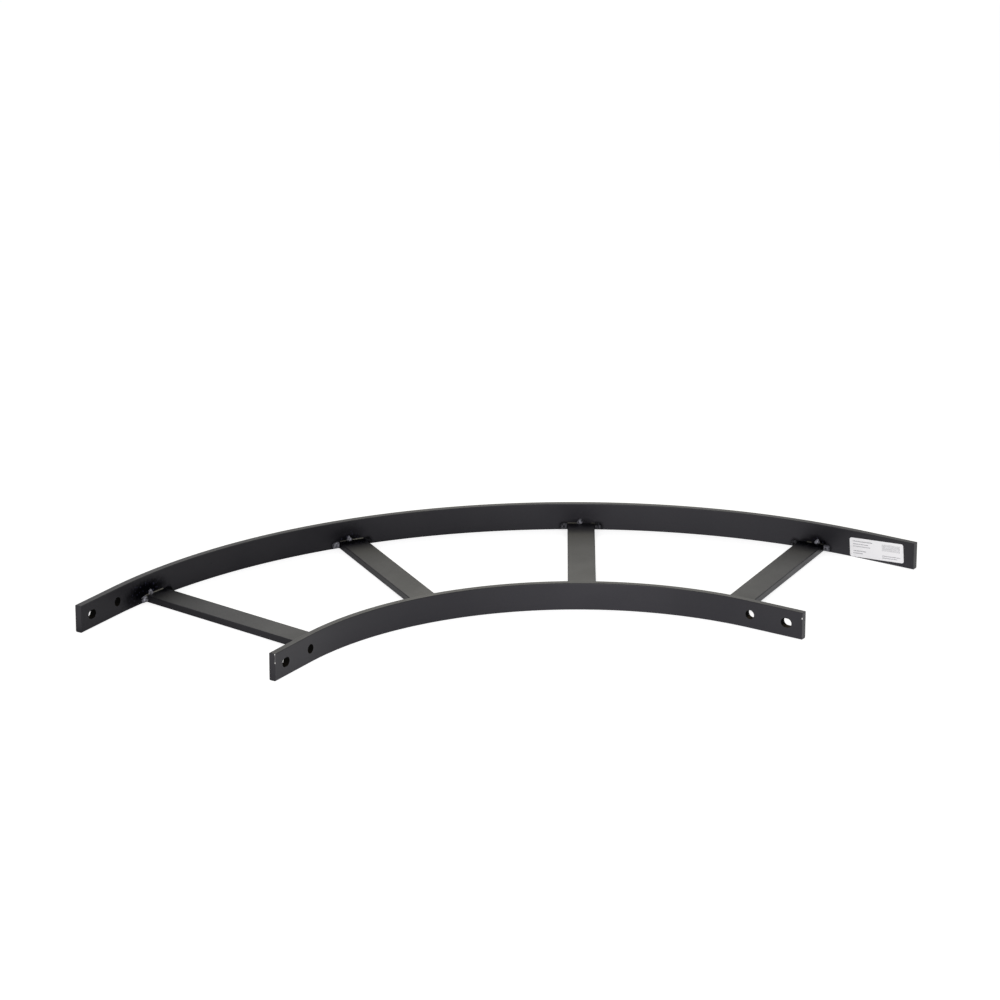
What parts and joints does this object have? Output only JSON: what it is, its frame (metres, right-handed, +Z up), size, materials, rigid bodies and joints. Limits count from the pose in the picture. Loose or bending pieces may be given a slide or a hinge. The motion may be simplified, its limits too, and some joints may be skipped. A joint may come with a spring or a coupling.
{
  "type": "cable tray bend",
  "caption": "Flat 90 degree horizontal bend of a ladder cable tray, welded from solid flat bar, with bolt holes at both ends of each side bar.",
  "frame": {"origin": "middle of the bounding box, on the underside", "axes": "+Z up; the left end points along -Y and the right end along +X; the hollow side of the bend faces +X and -Y"},
  "size_m": [0.8212, 0.8212, 0.0381],
  "materials": {
    "black_powder_coat": "satin black powder coat",
    "coated_weld": "satin, thin over the weld"
  },
  "bodies": {
    "root": {"outer_side_bar": "black_powder_coat", "inner_side_bar": "black_powder_coat", "rung_1": "black_powder_coat", "rung_2": "black_powder_coat", "rung_3": "black_powder_coat", "rung_4": "black_powder_coat", "rung_1_outer_weld": "coated_weld", "rung_2_outer_weld": "coated_weld", "rung_3_outer_weld": "coated_weld", "rung_4_outer_weld": "coated_weld", "rung_1_inner_weld": "coated_weld", "rung_2_inner_weld": "coated_weld", "rung_3_inner_weld": "coated_weld", "rung_4_inner_weld": "coated_weld"}
  },
  "joints": []
}
